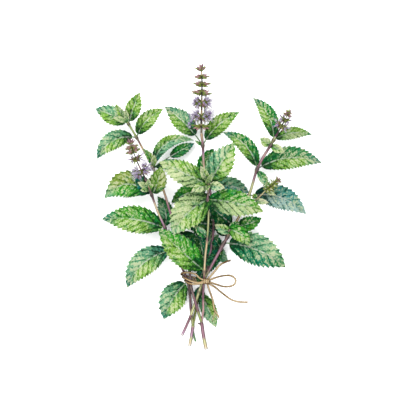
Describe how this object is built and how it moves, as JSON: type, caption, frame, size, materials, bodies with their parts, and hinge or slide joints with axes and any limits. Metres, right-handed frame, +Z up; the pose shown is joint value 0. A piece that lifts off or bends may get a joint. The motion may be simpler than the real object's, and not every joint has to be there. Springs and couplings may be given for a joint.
{
  "type": "flowering spearmint bunch",
  "caption": "Cut spearmint sprigs with serrated leaves and whorled flower spikes, held as a loose bunch by knotted twine, lying on a flat surface.",
  "frame": {"origin": "on the table, under the middle of the bunch's bounding box", "axes": "+Y from the cut stem ends to the tips, +Z up out of the table on which the bunch lies, +X to the right seen from above with the tips away"},
  "size_m": [0.2256, 0.2888, 0.0503],
  "materials": {
    "leaf": "soft matte leaf, puckered between the veins",
    "flower": "matte petals and downy calyces",
    "twine": "rough natural fibre"
  },
  "bodies": {
    "root": {"front_forked_sprig": "leaf", "back_forked_sprig": "leaf", "right_sprig": "leaf", "centre_flower_spike": "flower", "left_flower_spike": "flower", "right_flower_spike": "flower", "right_bud_spike": "flower", "twine_tie": "twine", "twine_right_loop": "twine", "twine_upper_tail": "twine", "twine_right_tail": "twine", "twine_lower_tail": "twine"}
  },
  "joints": []
}
